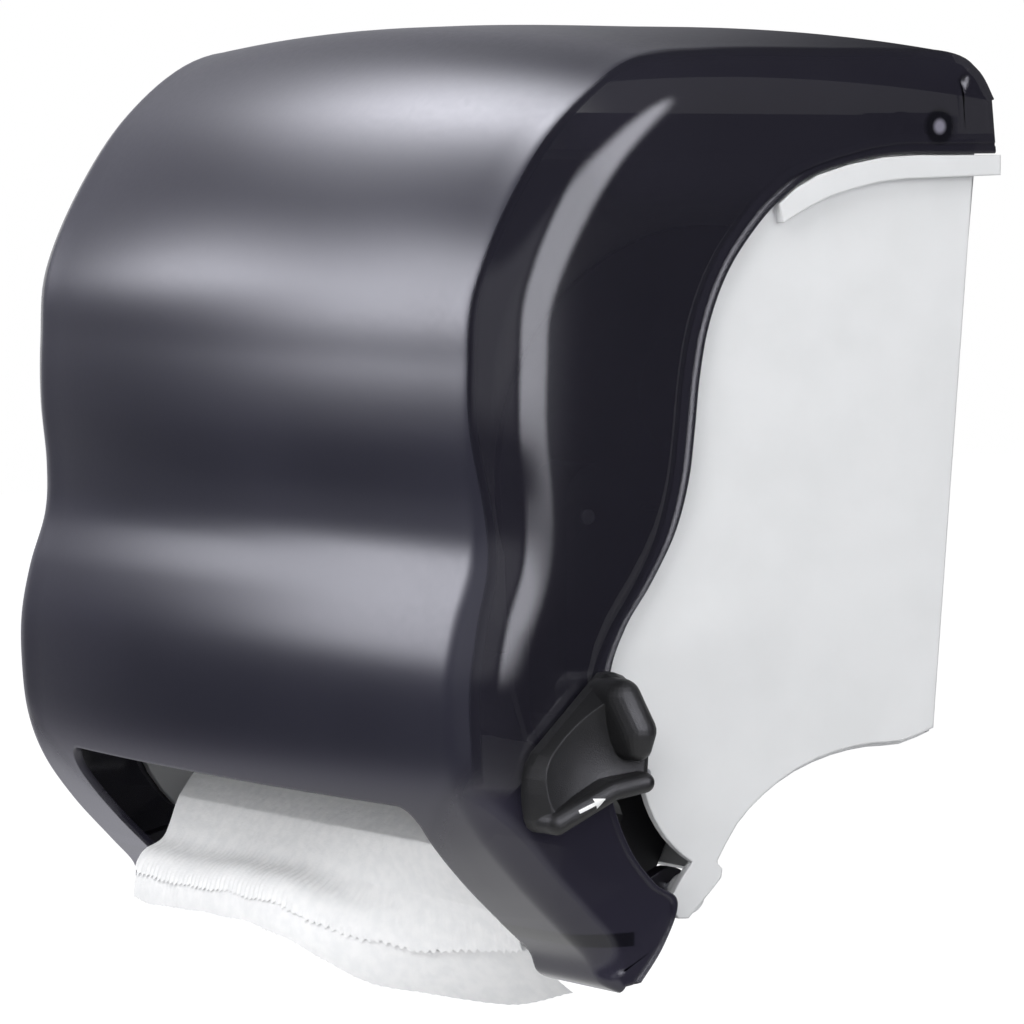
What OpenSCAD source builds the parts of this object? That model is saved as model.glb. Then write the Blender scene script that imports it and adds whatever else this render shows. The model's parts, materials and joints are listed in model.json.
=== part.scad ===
// Lever paper towel dispenser for a wall: a base screwed to the wall carries the
// roll, the feed rollers and the lever; a smoked cover swings down on the base's feet.
// X runs to the right as seen from the front, the room is toward -Y, Z is up.
// The origin is the centre of the four wall screws, on the wall.
// Side outlines are drawn as [y, z] and extruded along X.

/* [Cover] */
// Width over the cover's sides
cover_w = 330; // [320:1:342]
// Height of the crown above the wall screws' centre
crown_z = 150; // [146:1:154]
// Reach of the upper bulge from the wall
upper_reach = 210; // [207:1:213]
// Reach of the waist from the wall
waist_reach = 206.5; // [203:0.5:208]
// Reach of the lower bulge from the wall
lower_reach = 218.5; // [215:0.5:221]
// How far the cover's middle stands out before its corners
crown_bulge = 8; // [5:0.5:9]
// Thickness of the cover's wall
cover_wall = 3; // [2:0.1:3.4]
// Radius of the cover's long corners
corner_r = 22; // [16:1:26]
// Height of the lip over the paper's way out
lip_z = -107; // [-110:1:-104]
// Depth of the tip of the cover's legs below the screws' centre
leg_tip_z = -169; // [-173:1:-166]
// Width of the paper's way out between the legs
mouth_w = 248; // [242:1:254]

/* [Base] */
// Thickness of the base's walls
base_wall = 3; // [2.4:0.1:4]
// Gap between the base's sides and the cover's sides
side_gap = 1; // [0.6:0.1:1.6]
// How far the base's sides reach in under the cover
edge_lap = 5; // [3:0.5:8]
// Height of the white ledge under the cover's edge
ledge_t = 7; // [5:0.5:9]
// Half width of the flat pad that lies on the wall
pad_half_w = 104; // [100:1:110]
// Distance between the wall screws across
screw_dx = 170; // [150:1:176]
// Distance between the wall screws up
screw_dz = 130; // [110:1:140]
// Radius of the wall screw holes
screw_hole_r = 2.75; // [2:0.05:3.5]

/* [Paper] */
// Width of the roll and of the towel
paper_w = 203; // [190:1:205]
// Radius of the roll of towel
roll_r = 80; // [50:1:82]
// Distance of the roll's axis from the wall
roll_y = 88; // [87:1:92]
// Height of the roll's axis above the wall screws' centre
roll_z = 30; // [26:1:34]
// Inner radius of the roll's core
core_r = 19; // [16:0.5:22]
// Wall of the roll's core
core_wall = 1.6; // [1:0.1:2.5]
// Thickness that the towel's solid has
sheet_t = 0.6; // [0.4:0.1:0.8]

/* [Feed] */
// Distance of the lever's pivot from the wall
pivot_y = 105; // [104:0.5:106]
// Depth of the lever's pivot below the wall screws' centre
pivot_z = -90; // [-91:0.5:-89]
// Radius of the feed roller's grips
grip_r = 15; // [13:0.5:15.5]
// Radius of the pressure roller
press_r = 8; // [6:0.5:9]
// Gap between the feed roller and the pressure roller
nip_gap = 1.2; // [1:0.1:1.6]
// Radius of both rollers' shafts
shaft_r = 3; // [2.5:0.1:3.5]
// Gear module
gear_m = 1.3333; // [1.3333]
// Teeth on the feed roller's pinion
pinion_teeth = 12; // [12]
// Teeth that the lever's sector would have all round
sector_teeth = 45; // [45]
// Width of the gears
gear_w = 8; // [6:0.5:9]
// Radial clearance of every running fit
run_gap = 0.05; // [0.02:0.01:0.08]

/* [Lever] */
// Travel of the lever in degrees
lever_travel = 42; // [36:1:44]
// Outer radius of the lever's slot about the pivot
slot_ro = 57.5; // [56:0.5:59]
// Inner radius of the lever's slot about the pivot
slot_ri = 42.5; // [41:0.5:44]
// Radius of the lever's pivot pin
pivot_r = 5; // [4:0.5:6]
// How far the paddle stands out from the cover's side
paddle_t = 24; // [18:1:28]

/* [Hidden] */
$fn = 48;
eps = 0.01;

half_w = cover_w / 2;
panel_out = half_w - cover_wall - side_gap;
panel_in = panel_out - base_wall;
pivot = [-pivot_y, pivot_z];
roll_axis = [-roll_y, roll_z];
gear_gap = gear_m * (pinion_teeth + sector_teeth) / 2;
feed_rise = 20;
feed = pivot + gear_gap * [-cos(feed_rise), sin(feed_rise)];
press = feed + [grip_r + nip_gap + press_r, 0];
hinge = [-126, -138];
hinge_r = 3;
latch_at = [-27, 121];
latch_r = 4;
latch_in = panel_in - 26;
latch_plate_t = 4;
bush_wall = 3;
press_float = 0.3;

// Places along X of the mechanism, from the middle outwards
cheek_in = paper_w / 2 + 2.5;
cheek_t = 3.5;
cheek_out = cheek_in + cheek_t;
case_in = cheek_out;
case_wall = 2;
gear_x = cheek_out + 5;
case_out = gear_x + gear_w + 10.5;
arm_in = case_out + 2;
arm_t = 5;
lug_in = panel_in - 17;
lug_t = 6;

// ---- helpers ----

// Extrudes a [y, z] outline from x0 to x1
module along_x(x0, x1) {
    translate([x0, 0, 0]) rotate([90, 0, 90]) linear_extrude(x1 - x0) children();
}

// A rod along X at a [y, z] place
module rod_x(at, r, x0, x1) {
    translate([x0, at[0], at[1]]) rotate([0, 90, 0]) cylinder(r = r, h = x1 - x0);
}

// A rod along Y at an [x, z] place
module rod_y(at, r, y0, y1) {
    translate([at[0], y1, at[1]]) rotate([90, 0, 0]) cylinder(r = r, h = y1 - y0);
}

// The same shape on the left and on the right
module both_sides() {
    children();
    mirror([1, 0, 0]) children();
}

function unit(v) = v / norm(v);
function turned(v) = [-v[1], v[0]];
function last_of(list) = len(list) - 1;
function heading(pts, i) = unit(pts[min(i + 1, last_of(pts))] - pts[max(i - 1, 0)]);
function shifted(pts, d) = [for (i = [0 : last_of(pts)]) pts[i] + d * turned(heading(pts, i))];
function reversed(list) = [for (i = [last_of(list) : -1 : 0]) list[i]];
// The outline of a strip of thickness t laid along a line of points
function ribbon(pts, t) = concat(shifted(pts, t / 2), reversed(shifted(pts, -t / 2)));
function arc(c, r, a0, a1, n) = [for (i = [0 : n]) let (a = a0 + (a1 - a0) * i / n) c + r * [cos(a), sin(a)]];
// A smooth line through all the points, with n steps between two of them
function spline_at(p0, p1, p2, p3, t) =
    0.5 * (2 * p1 + (p2 - p0) * t + (2 * p0 - 5 * p1 + 4 * p2 - p3) * t * t
    + (3 * p1 - p0 - 3 * p2 + p3) * t * t * t);
function smooth(pts, n) = concat(
    [for (i = [0 : last_of(pts) - 1]) for (k = [0 : n - 1])
        spline_at(pts[max(i - 1, 0)], pts[i], pts[i + 1], pts[min(i + 2, last_of(pts))], k / n)],
    [pts[last_of(pts)]]);

// ---- cover ----

// Each row: outer [y, z], rear edge [y, z] and corner radius, from the wall over the
// crown and down the front to the tip of the legs
cover_rows = [
    [-2, crown_z - 18, -2, 113, 2],
    [-6, crown_z - 7, -9, 113, 9],
    [-16, crown_z - 1, -22, 113, 17],
    [-60, crown_z, -50, 112.5, corner_r],
    [-112, crown_z, -78, 106.5, corner_r],
    [-144, crown_z - 4, -94, 97, corner_r],
    [-172, crown_z - 24, -107, 84, corner_r],
    [-194, crown_z - 52, -116, 71, corner_r],
    [1.5 - upper_reach, crown_z - 82, -122.5, 55, corner_r],
    [-upper_reach, crown_z - 108, -126, 38, corner_r],
    [-(upper_reach + waist_reach) / 2, 19, -128, 20, corner_r],
    [-waist_reach, -4, -130.5, 3, corner_r],
    [-waist_reach - 1, -22, -136, -14, corner_r],
    [-waist_reach - 5.5, -41, -146, -31, corner_r],
    [1.5 - lower_reach, -60, -156, -45, corner_r],
    [-lower_reach, -79, -162.5, -62, corner_r],
    [4 - lower_reach, -98, -163, -90, 20],
    [-206, -115, pivot[0] - slot_ro * cos(16), pivot[1] - slot_ro * sin(16), 16],
    [-192, -132, pivot[0] - slot_ro * cos(33), pivot[1] - slot_ro * sin(33), 13],
    [-176, -148, pivot[0] - slot_ro * cos(48), pivot[1] - slot_ro * sin(48), 12],
    [-166, leg_tip_z + 11, pivot[0] - slot_ro * cos(59), pivot[1] - slot_ro * sin(59), 11],
    [-163, leg_tip_z + 3.5, -140.5, -154, 7],
    [-157.5, leg_tip_z, -149.5, leg_tip_z + 3.2, 2.6]
];
row_steps = 2;
corner_steps = 5;
mid_steps = 3;
rows = smooth(cover_rows, row_steps);
outer_line = [for (r = rows) [r[0], r[1]]];
rear_edge = [for (r = rows) [r[2], r[3]]];
function inward(i) = turned(heading(outer_line, i));
// A point of row i: f runs over the corner from 0 to 1, d is the depth below the outside
function corner_point(i, f, d) =
    let (r = rows[i][4], a = 90 * f, rc = max(r - d, 0.5))
    let (yz = outer_line[i] + (r - rc * cos(a)) * inward(i))
    [half_w - r - (d > 0 ? max(d - r + 0.5, 0) : 0) + rc * sin(a), yz[0], yz[1]];
function edge_point(i, d) = [half_w - d, rear_edge[i][0], rear_edge[i][1]];
// Which way row i bulges between its corners: up on the crown, then to the room
function outward(i) = i <= 3 * row_steps ? [0, 1] : -inward(i);
// The bulge is full down to the lip and fades out to the tips of the legs
function bulge(i) = crown_bulge * min(1, (last_of(rows) - i) / (5 * row_steps));
// A point of row i between the corners: q runs from 0 in the middle to 1 at the corner
function mid_point(i, q, d) =
    let (c = corner_point(i, 0, d), out = bulge(i) * (1 - q * q) * outward(i))
    [q * c[0], c[1] + out[0], c[2] + out[1]];
function flipped(p) = [-p[0], p[1], p[2]];
function half_row(i, d) = concat([edge_point(i, d)],
    [for (k = [corner_steps : -1 : 0]) corner_point(i, k / corner_steps, d)],
    [for (k = [mid_steps - 1 : -1 : 1]) mid_point(i, k / mid_steps, d)]);
function full_row(i, d) =
    let (h = half_row(i, d)) concat([for (p = h) flipped(p)], [mid_point(i, 0, d)], reversed(h));

module cover_skin() {
    n = len(rows);
    m = 2 * (corner_steps + 1 + mid_steps) + 1;
    outer = [for (i = [0 : n - 1]) each full_row(i, 0)];
    inner = [for (i = [0 : n - 1]) each full_row(i, cover_wall)];
    o = n * m;
    faces = concat(
        [for (i = [0 : n - 2]) for (j = [0 : m - 2]) each
            [[i * m + j, i * m + j + 1, (i + 1) * m + j], [i * m + j + 1, (i + 1) * m + j + 1, (i + 1) * m + j]]],
        [for (i = [0 : n - 2]) for (j = [0 : m - 2]) each
            [[o + i * m + j, o + (i + 1) * m + j, o + i * m + j + 1],
             [o + i * m + j + 1, o + (i + 1) * m + j, o + (i + 1) * m + j + 1]]],
        [for (j = [0 : m - 2]) each [[j, o + j, j + 1], [j + 1, o + j, o + j + 1]]],
        [for (j = [0 : m - 2]) let (a = (n - 1) * m + j) each [[a, a + 1, o + a], [a + 1, o + a + 1, o + a]]],
        [for (i = [0 : n - 2]) let (a = i * m, b = a + m) each [[a, b, o + a], [b, o + b, o + a]]],
        [for (i = [0 : n - 2]) let (a = i * m + m - 1, b = a + m) each [[a, o + a, b], [b, o + a, o + b]]]);
    polyhedron(points = concat(outer, inner), faces = faces, convexity = 8);
}

mouth_corner_r = 9;

// The lug inside a leg that turns on the hinge pin
module cover_lug() {
    difference() {
        union() {
            rod_x(hinge, 8, lug_in, lug_in + lug_t);
            along_x(lug_in, lug_in + lug_t)
                polygon([[-130, -131], [-150, -141], [-175.5, -147], [-163, leg_tip_z + 8],
                    [-148, leg_tip_z + 8], [-128, -146]]);
            // Web that ties the lug to the leg's front
            along_x(mouth_w / 2 + 1, lug_in + eps)
                polygon([[-133, -156], [-168.5, -154], [-166.5, -157], [-134, -159]]);
        }
        rod_x(hinge, hinge_r + run_gap, lug_in - 1, lug_in + lug_t + 1);
    }
}

module cover_shell() {
    color("#3a3846") {
        difference() {
            cover_skin();
            translate([0, -100, 0]) rotate([90, 0, 0]) linear_extrude(140)
                offset(r = mouth_corner_r) offset(delta = -mouth_corner_r)
                    translate([-mouth_w / 2, leg_tip_z - 30]) square([mouth_w, lip_z - leg_tip_z + 30]);
        }
        both_sides() cover_lug();
    }
}

// ---- base ----

underside = smooth([[-25, -86.5], [-38, -90.3], [-52, -90.5], [-67, -92.5], [-83, -97.5], [-97, -105.5],
    [-108, -115], [-116, -127]], 2);
floor_line = concat(underside, [[-118.5, -131]]);
panel_front_top = [for (i = [3 * row_steps : 15 * row_steps]) rear_edge[i]];
panel_front_low = [for (i = [17 * row_steps : 20 * row_steps]) rear_edge[i]];
foot = [[-130.3, -131.5], [-134.8, -138], [-134.8, -142], [-132, -145.8], [-128, -146], [-119.5, -138],
    [-114.5, -133], [-114, -130], [-116, -128]];
lever_slot = concat(
    [pivot + (slot_ro + 7) * [-cos(17), sin(17)]],
    arc(pivot, slot_ri, 180 - 15, 180 + 60, 12));
// Side panel of the base, with the lever's slot or, on the left, closed under the cover
function panel_outline(slotted) = concat(
    [[-8, 118]],
    shifted(panel_front_top, -edge_lap),
    slotted ? lever_slot : shifted(panel_front_low, -edge_lap),
    foot,
    reversed(underside));
ledge_line = [for (i = [0 : 5 * row_steps]) rear_edge[i]];
ledge_outline = concat([[0, 112.5]], shifted(ledge_line, 0.5),
    [[-92, 90], [-83, 94.5], [-72, 99], [-62, 108.5 - ledge_t], [-52, 110.5 - ledge_t],
        [-41, 111.5 - ledge_t], [0, 112.5 - ledge_t]]);
dish_front = [[-8, 112], [-28, -88]];
pad_z = [-76, 100];

// Room for the floor of the base
module floor_room() {
    polygon(concat(shifted(underside, -base_wall / 2 - 1), [[-125, -141], [-20, -141]]));
}

module rear_dish() {
    hull() {
        translate([-pad_half_w, -eps, pad_z[0]]) cube([2 * pad_half_w, eps, pad_z[1] - pad_z[0]]);
        along_x(-panel_out, panel_out)
            polygon([dish_front[0], dish_front[1], dish_front[1] - [eps, 0], dish_front[0] - [eps, 0]]);
    }
}

module base_housing() {
    color("#e4e6e8") {
        difference() {
            union() {
                difference() {
                    rear_dish();
                    translate([0, -base_wall, 0]) rear_dish();
                }
                translate([-latch_in - 8, -base_wall, 92]) cube([2 * latch_in + 16, base_wall, 34]);
                along_x(-panel_in - eps, panel_in + eps) polygon(ribbon(floor_line, base_wall));
                along_x(panel_in, panel_out) polygon(panel_outline(true));
                along_x(-panel_out, -panel_in) polygon(panel_outline(false));
                both_sides() {
                    along_x(panel_out - eps, half_w) polygon(ledge_outline);
                    // Block that takes the outer end of the pivot pin and the hinge pin
                    rod_x(pivot, pivot_r + 4, arm_in + arm_t + 1, panel_in + eps);
                    rod_x(hinge, hinge_r + 4, panel_in - 3, panel_in + eps);
                    // Bracket that the latch stud slides in
                    translate([latch_in, latch_at[0] - 8, latch_at[1] - 8])
                        cube([latch_plate_t, -latch_at[0] + 8 - eps, 14]);
                }
            }
            for (x = [-1, 1] * screw_dx / 2, z = [-1, 1] * screw_dz / 2)
                rod_y([x, z], screw_hole_r, -20, 1);
            both_sides() for (z = chassis_screw_z) rod_y([chassis_screw_x, z], screw_r, -20, -1);
            both_sides() rod_x(latch_at, latch_r + run_gap, latch_in - 1, latch_in + latch_plate_t + 1);
            both_sides() {
                rod_x(hinge, hinge_r, panel_in - 4, panel_out - 1);
                rod_x(pivot, pivot_r, arm_in + arm_t, panel_out - 1);
            }
        }
    }
}

module hinge_pins() {
    color("#b8bcc0") both_sides() rod_x(hinge, hinge_r, lug_in - 2, panel_out - 1);
}

// ---- chassis ----

cheek_top_c = [-84, 2];
cheek_top_r = 86;
cheek_rear = -base_wall - 3;

module cheek_outline() {
    intersection() {
        translate(cheek_top_c) circle(r = cheek_top_r, $fn = 96);
        translate([-170, -60]) square([163, 160]);
    }
    difference() {
        polygon([[-166, -20], [-164, -70], [-158, -88], [-152, -92], [-134, -98], [-128, -112],
            [-136, -134], [-124, -137], [-100, -97], [-80, -89], [-40, -82], [-20, -74],
            [cheek_rear, -66], [cheek_rear, 98], [-24, 98], [-24, 40]]);
        floor_room();
    }
}

chassis_screw_z = [-57, 91];
tab_w = 14;
tab_t = 6;
screw_r = 1.8;
chassis_screw_x = cheek_in - tab_w / 2;

module cheek_body() {
    along_x(cheek_in, cheek_out) cheek_outline();
    for (z = chassis_screw_z)
        translate([cheek_in - tab_w, -base_wall - tab_t, z - tab_w / 2]) cube([tab_w + eps, tab_t, tab_w]);
}

module cheek_holes() {
    rod_x(feed, shaft_r + bush_wall, cheek_in - 1, cheek_out + 1);
    rod_x(press, shaft_r + press_float, cheek_in - 1, cheek_out + 1);
    for (z = chassis_screw_z) rod_y([chassis_screw_x, z], screw_r, -base_wall - tab_t - 1, -1);
}

module cheek_right() {
    color("#1c1c1f") difference() {
        cheek_body();
        cheek_holes();
        rod_x(pivot, pivot_r, cheek_in - 1, cheek_out + 1);
        rod_x(roll_axis, core_r, cheek_in - 1, cheek_out + 1);
    }
}

module cheek_left() {
    color("#1c1c1f") mirror([1, 0, 0]) difference() {
        cheek_body();
        cheek_holes();
        rod_x(roll_axis, hub_guide_r, cheek_in - 1, cheek_out + 1);
    }
}

module chassis_screws() {
    color("#9aa0a6") both_sides() for (z = chassis_screw_z) {
        rod_y([chassis_screw_x, z], screw_r, -base_wall - tab_t - eps, -1);
        rod_y([chassis_screw_x, z], 2 * screw_r, -base_wall - tab_t - 2, -base_wall - tab_t);
    }
}

module tie_bar() {
    color("#1c1c1f") difference() {
        translate([-cheek_in, -22, -74]) cube([2 * cheek_in, 12, 10]);
        translate([-cheek_in + 6, -20, -76]) cube([2 * cheek_in - 12, 8, 10]);
    }
}

// ---- paper ----

exit_angle = -70;
exit_pts = [[-149, -98.5], [-160, -106], [-171, -117.5], [-181, -131], [-189, -143], [-193.5, -157]];
exit_steps = 3;
wrap_r = grip_r + nip_gap / 2;
web_r = roll_r + sheet_t;
web_dir = atan2(feed[1] - roll_axis[1], feed[0] - roll_axis[0]);
web_a = web_dir - acos((web_r + wrap_r) / norm(feed - roll_axis));
// The line of the paper: off the roll, round the feed roller and out of the mouth
paper_start = roll_axis + web_r * [cos(web_a), sin(web_a)];
paper_wrap = arc(feed, wrap_r, web_a + 180, exit_angle, 10);
paper_out = smooth(concat([feed + wrap_r * [cos(exit_angle), sin(exit_angle)]], exit_pts), exit_steps);
paper_line = concat([paper_start], paper_wrap, [for (i = [1 : last_of(paper_out)]) paper_out[i]]);

module towel_sheet() {
    color("#f2f2f0") along_x(-paper_w / 2, paper_w / 2) polygon(ribbon(paper_line, sheet_t));
}

module ring_x(at, r0, r1, x0, x1) {
    difference() {
        rod_x(at, r1, x0, x1);
        rod_x(at, r0, x0 - 1, x1 + 1);
    }
}

module roll_core() {
    color("#b99c74") ring_x(roll_axis, core_r, core_r + core_wall, -paper_w / 2, paper_w / 2);
}

module paper_roll() {
    color("#f4f4f2") ring_x(roll_axis, core_r + core_wall, roll_r, -paper_w / 2, paper_w / 2);
}

// ---- chute and tear bar ----

chute_t = 2.4;
chute_gap = 0.5;
chute_drop = sheet_t / 2 + chute_gap + chute_t / 2;
chute_end = 3 * exit_steps;
chute_line = concat(
    arc(feed, wrap_r + chute_drop, -35, exit_angle, 4),
    [for (i = [1 : chute_end]) shifted(paper_out, chute_drop)[i]]);
bar_dir = unit(chute_line[last_of(chute_line)] - chute_line[last_of(chute_line) - 2]);
bar_from = chute_line[last_of(chute_line)] - 8 * bar_dir + (chute_t / 2 + 0.1) * turned(bar_dir);
bar_t = 1.2;
bar_len = 17;
tooth_pitch = 3;
tooth_h = 2.4;
bar_screw_x = [-1, 0, 1] * (paper_w / 2 - 29.5);

// Lays its children in the tear bar's own plane, with Y pointing out of the mouth
module in_bar_plane() {
    translate([0, bar_from[0], bar_from[1]])
        rotate([atan2(bar_dir[1], bar_dir[0]), 0, 0]) children();
}

module bar_holes() {
    in_bar_plane() for (x = bar_screw_x) translate([x, 5, -chute_t]) cylinder(r = 1.5, h = 2 * chute_t);
}

module paper_chute() {
    color("#1c1c1f") difference() {
        along_x(-cheek_in, cheek_in) polygon(ribbon(chute_line, chute_t));
        bar_holes();
    }
}

module tear_bar() {
    half = floor(paper_w / 2 / tooth_pitch) * tooth_pitch;
    teeth = [for (x = [-half : tooth_pitch : half - 1]) each
        [[x, bar_len - tooth_h], [x + tooth_pitch / 2, bar_len]]];
    color("#a9adb2") difference() {
        in_bar_plane() linear_extrude(bar_t)
            polygon(concat([[-half - 2, 0], [-half - 2, bar_len - tooth_h]], teeth,
                [[half, bar_len - tooth_h], [half + 2, bar_len - tooth_h], [half + 2, 0]]));
        bar_holes();
    }
}

module tear_bar_screws() {
    color("#9aa0a6") in_bar_plane() for (x = bar_screw_x) translate([x, 5, 0]) {
        translate([0, 0, -1.8]) cylinder(r = 1.5, h = 1.8 + bar_t + eps);
        translate([0, 0, bar_t]) cylinder(r = 2.8, h = 1.5);
    }
}

// ---- feed rollers ----

grip_w = 28;
grip_pitch = (paper_w - 43) / 4;
grip_x = [for (i = [-2 : 2]) i * grip_pitch];
bush_flange = 1.2;

module feed_shaft() {
    color("#b8bcc0") rod_x(feed, shaft_r, -cheek_out - 2, gear_x + gear_w + 1);
}

module feed_grips() {
    color("#2a2a2c") for (x = grip_x) ring_x(feed, shaft_r, grip_r, x - grip_w / 2, x + grip_w / 2);
}

module shaft_bushes() {
    color("#d8d8d4") both_sides() {
        difference() {
            union() {
                rod_x(feed, shaft_r + bush_wall, cheek_in - bush_flange, cheek_out);
                rod_x(feed, shaft_r + bush_wall + 2, cheek_in - bush_flange, cheek_in);
            }
            rod_x(feed, shaft_r + run_gap, cheek_in - 3, cheek_out + 1);
        }
    }
}

module pressure_roller() {
    color("#3c3c40") {
        rod_x(press, shaft_r, -cheek_out - 2, cheek_out + 2);
        for (x = grip_x) rod_x(press, press_r, x - grip_w / 2, x + grip_w / 2);
    }
}

module pressure_springs() {
    back = press[0] + shaft_r + 0.5;
    color("#c0c4c8") both_sides() along_x(cheek_out, cheek_out + 2)
        polygon(ribbon([[back + 2, press[1] + 15], [back, press[1]], [back + 1, press[1] - 9]], 0.6));
}

// ---- gears ----

pressure_angle = 25;
tooth_add = 0.8 * gear_m;
tooth_ded = 1.1 * gear_m;
backlash = 0.16;

function involute_a(rb, r) = let (k = sqrt(max(r * r / rb / rb - 1, 0))) k * 180 / PI - atan(k);
// One tooth as [radius, angle] pairs, centred on the angle c
function tooth(z, c) =
    let (rp = gear_m * z / 2, rb = rp * cos(pressure_angle), rr = rp - tooth_ded, ra = rp + tooth_add)
    let (half = 90 / z - backlash / 2 / rp * 180 / PI + involute_a(rb, rp))
    let (r0 = max(rb, rr), rs = [for (i = [0 : 4]) r0 + (ra - r0) * i / 4])
    concat([[rr, c - half]], [for (r = rs) [r, c - half + involute_a(rb, r)]],
        [for (r = reversed(rs)) [r, c + half - involute_a(rb, r)]], [[rr, c + half]]);
function polar(list) = [for (p = list) p[0] * [cos(p[1]), sin(p[1])]];

module feed_pinion() {
    mesh = atan2(pivot[1] - feed[1], pivot[0] - feed[0]);
    step = 360 / pinion_teeth;
    color("#d9d2b8") along_x(gear_x, gear_x + gear_w) difference() {
        translate(feed) polygon(polar([for (i = [0 : pinion_teeth - 1]) each
            tooth(pinion_teeth, mesh + (i + 0.5) * step)]));
        translate(feed) circle(r = shaft_r);
    }
}

sector_up = 7;
sector_down = 1;
sector_hub_r = 12;

module sector_gear() {
    mesh = atan2(feed[1] - pivot[1], feed[0] - pivot[0]);
    step = 360 / sector_teeth;
    root_r = gear_m * sector_teeth / 2 - tooth_ded;
    a0 = mesh - (sector_up + 0.6) * step;
    a1 = mesh + (sector_down + 0.6) * step;
    color("#d9d2b8") difference() {
        union() {
            along_x(gear_x, gear_x + gear_w) translate(pivot) {
                polygon(concat([[0, 0]], polar([for (i = [-sector_up : sector_down]) each
                    tooth(sector_teeth, mesh + i * step)])));
                polygon(concat([[0, 0]], arc([0, 0], root_r + 0.2, a0, a1, 12)));
            }
            rod_x(pivot, sector_hub_r, gear_x, gear_x + gear_w + 1);
        }
        rod_x(pivot, pivot_r + run_gap, gear_x - 1, gear_x + gear_w + 2);
    }
}

// ---- gear case ----

case_posts = [[-150, -10], [-116, -22], [-78, -82]];
post_r = 4;
arm_hub_r = 9;

module case_outline() {
    difference() {
        union() {
            translate([-146, -4]) circle(r = 12);
            translate(pivot) circle(r = 37, $fn = 96);
            translate(feed) circle(r = 17);
            polygon([[-158, -4], [-158, -78], [-140, -100], [-135, -113], [-139, -131], [-131, -138],
                [-124, -138], [-100, -112], [-72, -100], [-84, -50], [-108, -9],
                [-126, -9], [-134, -2]]);
        }
        floor_room();
    }
}

module gear_case() {
    color("#18181a") difference() {
        union() {
            difference() {
                along_x(case_in, case_out) case_outline();
                along_x(case_in - 1, case_out - case_wall) offset(delta = -case_wall) case_outline();
            }
            for (p = case_posts) rod_x(p, post_r, case_in, case_out - eps);
        }
        rod_x(pivot, arm_hub_r + 0.5, case_out - case_wall - 1, case_out + 1);
        for (p = case_posts) rod_x(p, 1.5, case_in - 1, case_out + 1);
    }
}

module gear_case_screws() {
    color("#9aa0a6") for (p = case_posts) {
        rod_x(p, 1.5, case_in + 1, case_out + eps);
        rod_x(p, 2.6, case_out, case_out + 1.4);
    }
}

// ---- lever ----

arm_half_w = 9;
web_r0 = slot_ri + 3;
web_r1 = slot_ro - 3;
web_half_a = 7;
paddle_in = half_w + 1.5;
paddle_screw_a = [-4, 4];
paddle_screw_r = 1.6;

function at_lever(r, a) = pivot + r * [-cos(a), -sin(a)];

module paddle_screw_bores() {
    for (a = paddle_screw_a)
        rod_x(at_lever((web_r0 + web_r1) / 2, a), paddle_screw_r, arm_in - 1, paddle_in + 10);
}

module pivot_pin() {
    color("#b8bcc0") rod_x(pivot, pivot_r, cheek_in, panel_out - 1);
}

module lever_arm() {
    color("#1c1c1f") difference() {
        union() {
            rod_x(pivot, arm_hub_r, gear_x + gear_w + 1, arm_in + eps);
            rod_x(pivot, arm_hub_r + 5, arm_in, arm_in + arm_t);
            along_x(arm_in, arm_in + arm_t) translate(pivot - [web_r1, arm_half_w])
                square([web_r1, 2 * arm_half_w]);
            along_x(arm_in, paddle_in) polygon(concat(
                arc(pivot, web_r0, 180 - web_half_a, 180 + web_half_a, 4),
                arc(pivot, web_r1, 180 + web_half_a, 180 - web_half_a, 4)));
        }
        rod_x(pivot, pivot_r + run_gap, gear_x, arm_in + arm_t + 1);
        paddle_screw_bores();
    }
}

paddle_edge = smooth([[-174, -66], [-169, -59.5], [-162, -60.5], [-156.5, -67], [-153.5, -82], [-157, -88.5],
    [-155, -92.5], [-155, -98], [-162, -99.5], [-173, -102], [-184, -107], [-192, -111.5], [-197, -110],
    [-199, -103], [-199, -93], [-195.5, -85], [-185, -76], [-174, -66]], 2);
paddle_face = paddle_in + paddle_t - 9;
dish_r = 44;
dish_deep = 7;

// A rounded stud of the paddle that ends at the distance x_end
module paddle_stud(at, r, x_end) {
    rod_x(at, r, paddle_in + 2, x_end - r);
    translate([x_end - r, at[0], at[1]]) sphere(r = r, $fn = 24);
}

module lever_paddle() {
    color("#141416") difference() {
        union() {
            difference() {
                hull() {
                    along_x(paddle_in, paddle_in + 5) polygon(paddle_edge);
                    along_x(paddle_in, paddle_face - 2) offset(delta = -3) polygon(paddle_edge);
                    along_x(paddle_in, paddle_face) offset(delta = -7) polygon(paddle_edge);
                }
                // The dished face for the hand
                translate([paddle_face + dish_r - dish_deep, -181, -87]) sphere(r = dish_r, $fn = 64);
                // The waist between the ridge and the lip
                rod_x([-153.5, -88.7], 3.5, paddle_in - 1, paddle_in + paddle_t);
            }
            // Ridge along the rear edge, for the thumb
            hull() {
                paddle_stud([-168, -67], 6.5, paddle_in + paddle_t - 4);
                paddle_stud([-164.5, -78], 6.5, paddle_in + paddle_t);
                paddle_stud([-164, -83], 5, paddle_in + paddle_t - 2);
            }
            // Lip along the lower edge
            hull() {
                paddle_stud([-161, -95.5], 3.5, paddle_in + paddle_t - 4);
                paddle_stud([-173, -97.5], 3.5, paddle_in + paddle_t - 5);
            }
            hull() {
                paddle_stud([-173, -97.5], 3.5, paddle_in + paddle_t - 5);
                paddle_stud([-193.5, -107.5], 4, paddle_in + paddle_t - 7);
            }
        }
        paddle_screw_bores();
    }
}

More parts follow.
